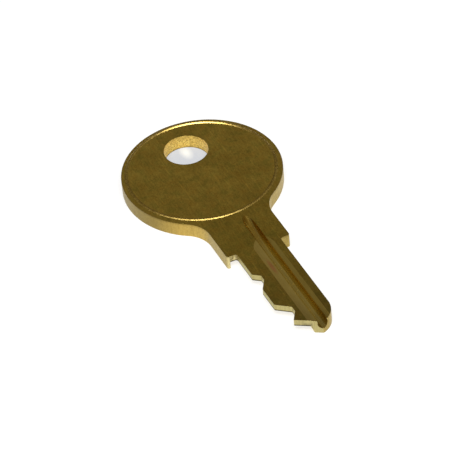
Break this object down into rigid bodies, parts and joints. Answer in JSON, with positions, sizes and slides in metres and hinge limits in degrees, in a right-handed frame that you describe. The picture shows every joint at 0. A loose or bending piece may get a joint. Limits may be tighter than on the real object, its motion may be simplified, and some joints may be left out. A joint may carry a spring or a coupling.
{
  "type": "flat door key",
  "caption": "Small flat brass key with a round bow, ring hole, grooved blade and edge cuts, for turning a door lock.",
  "frame": {"origin": "on the axis of the ring hole, on the key's underside", "axes": "+X along the blade from the ring hole to the tip, the cuts are on the -Y edge, +Z out of the face with the slot"},
  "size_m": [0.0459, 0.022, 0.0022],
  "materials": {
    "brass": "rolled plate with fine grain, lightly tarnished, cut walls brighter"
  },
  "bodies": {
    "root": {"key": "brass"}
  },
  "joints": []
}
